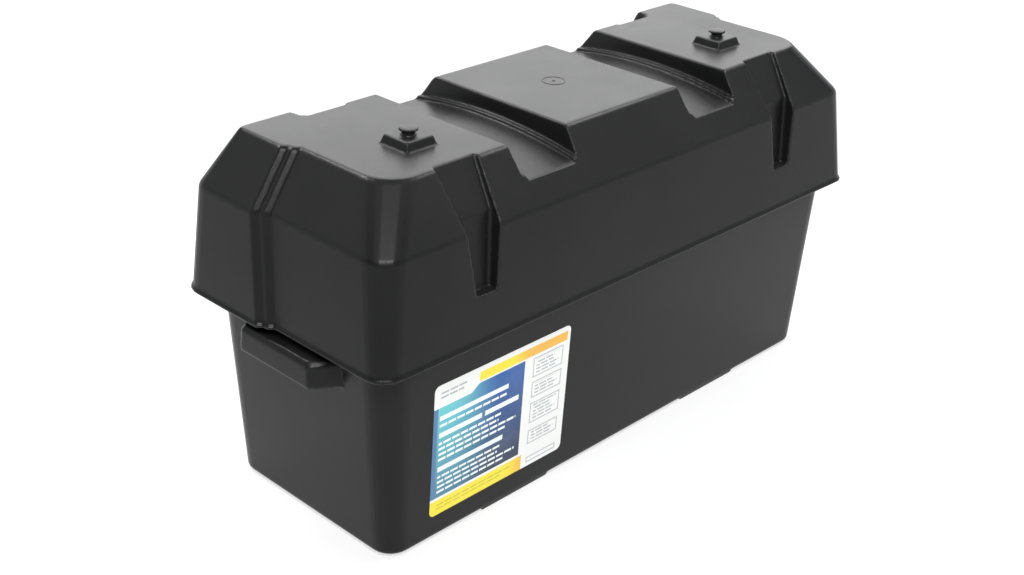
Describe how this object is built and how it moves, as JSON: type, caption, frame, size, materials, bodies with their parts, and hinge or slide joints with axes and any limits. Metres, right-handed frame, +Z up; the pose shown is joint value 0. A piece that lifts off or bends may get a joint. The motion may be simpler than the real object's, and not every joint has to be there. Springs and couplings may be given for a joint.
{
  "type": "deep cycle battery",
  "caption": "Lidded black battery box with strap channels, vents and end grips, holding deep cycle batteries wired in series.",
  "frame": {"origin": "on the ground, under the centre of the box", "axes": "+X along the box, +Y to the back where the lid's cable bulges are, +Z up"},
  "size_m": [0.6202, 0.2395, 0.3267],
  "materials": {
    "black_plastic": "satin moulded polypropylene with a fine texture",
    "label": "printed self-adhesive film, satin",
    "battery_case": "satin polypropylene",
    "battery_cover": "satin polypropylene",
    "positive_paste": "dull lead dioxide paste",
    "lead": "dull cast lead",
    "separator": "porous polyethylene sheet",
    "seal_rubber": "matte rubber",
    "vent_cap": "gloss moulded plastic",
    "stainless": "bright machined stainless steel",
    "copper": "tinned copper, satin",
    "cable_sleeve": "satin rubber sleeve"
  },
  "bodies": {
    "tub": {"box_tub": "black_plastic", "front_label": "label", "left_battery_case": "battery_case", "left_battery_cover": "battery_cover", "left_positive_plates": "positive_paste", "left_negative_plates": "lead", "left_separators": "separator", "left_cell_straps": "lead", "left_positive_post": "lead", "left_negative_post": "lead", "left_vent_gaskets": "seal_rubber", "right_battery_case": "battery_case", "right_battery_cover": "battery_cover", "right_positive_plates": "positive_paste", "right_negative_plates": "lead", "right_separators": "separator", "right_cell_straps": "lead", "right_positive_post": "lead", "right_negative_post": "lead", "right_vent_gaskets": "seal_rubber", "terminal_studs": "stainless", "terminal_washers": "stainless", "terminal_nuts": "stainless", "link_lugs": "copper", "link_cable": "cable_sleeve"},
    "lid": {"box_lid": "black_plastic", "lid_vent_left": "black_plastic", "lid_vent_right": "black_plastic"},
    "left_cap_1": {"left_vent_cap_1": "vent_cap"},
    "left_cap_2": {"left_vent_cap_2": "vent_cap"},
    "left_cap_3": {"left_vent_cap_3": "vent_cap"},
    "right_cap_1": {"right_vent_cap_1": "vent_cap"},
    "right_cap_2": {"right_vent_cap_2": "vent_cap"},
    "right_cap_3": {"right_vent_cap_3": "vent_cap"}
  },
  "joints": [
    {"name": "lid_lift", "type": "slide", "parent": "tub", "child": "lid", "axis": [0, 0, 1], "range_m": [0, 0.13]},
    {"name": "left_cap_1_turn", "type": "hinge", "parent": "tub", "child": "left_cap_1", "pos_m": [-0.21783, 0, 0.262], "axis": [0, 0, 1], "range_deg": [0, 90]},
    {"name": "left_cap_2_turn", "type": "hinge", "parent": "tub", "child": "left_cap_2", "pos_m": [-0.1325, 0, 0.262], "axis": [0, 0, 1], "range_deg": [0, 90]},
    {"name": "left_cap_3_turn", "type": "hinge", "parent": "tub", "child": "left_cap_3", "pos_m": [-0.04717, 0, 0.262], "axis": [0, 0, 1], "range_deg": [0, 90]},
    {"name": "right_cap_1_turn", "type": "hinge", "parent": "tub", "child": "right_cap_1", "pos_m": [0.04717, 0, 0.262], "axis": [0, 0, 1], "range_deg": [0, 90]},
    {"name": "right_cap_2_turn", "type": "hinge", "parent": "tub", "child": "right_cap_2", "pos_m": [0.1325, 0, 0.262], "axis": [0, 0, 1], "range_deg": [0, 90]},
    {"name": "right_cap_3_turn", "type": "hinge", "parent": "tub", "child": "right_cap_3", "pos_m": [0.21783, 0, 0.262], "axis": [0, 0, 1], "range_deg": [0, 90]}
  ]
}
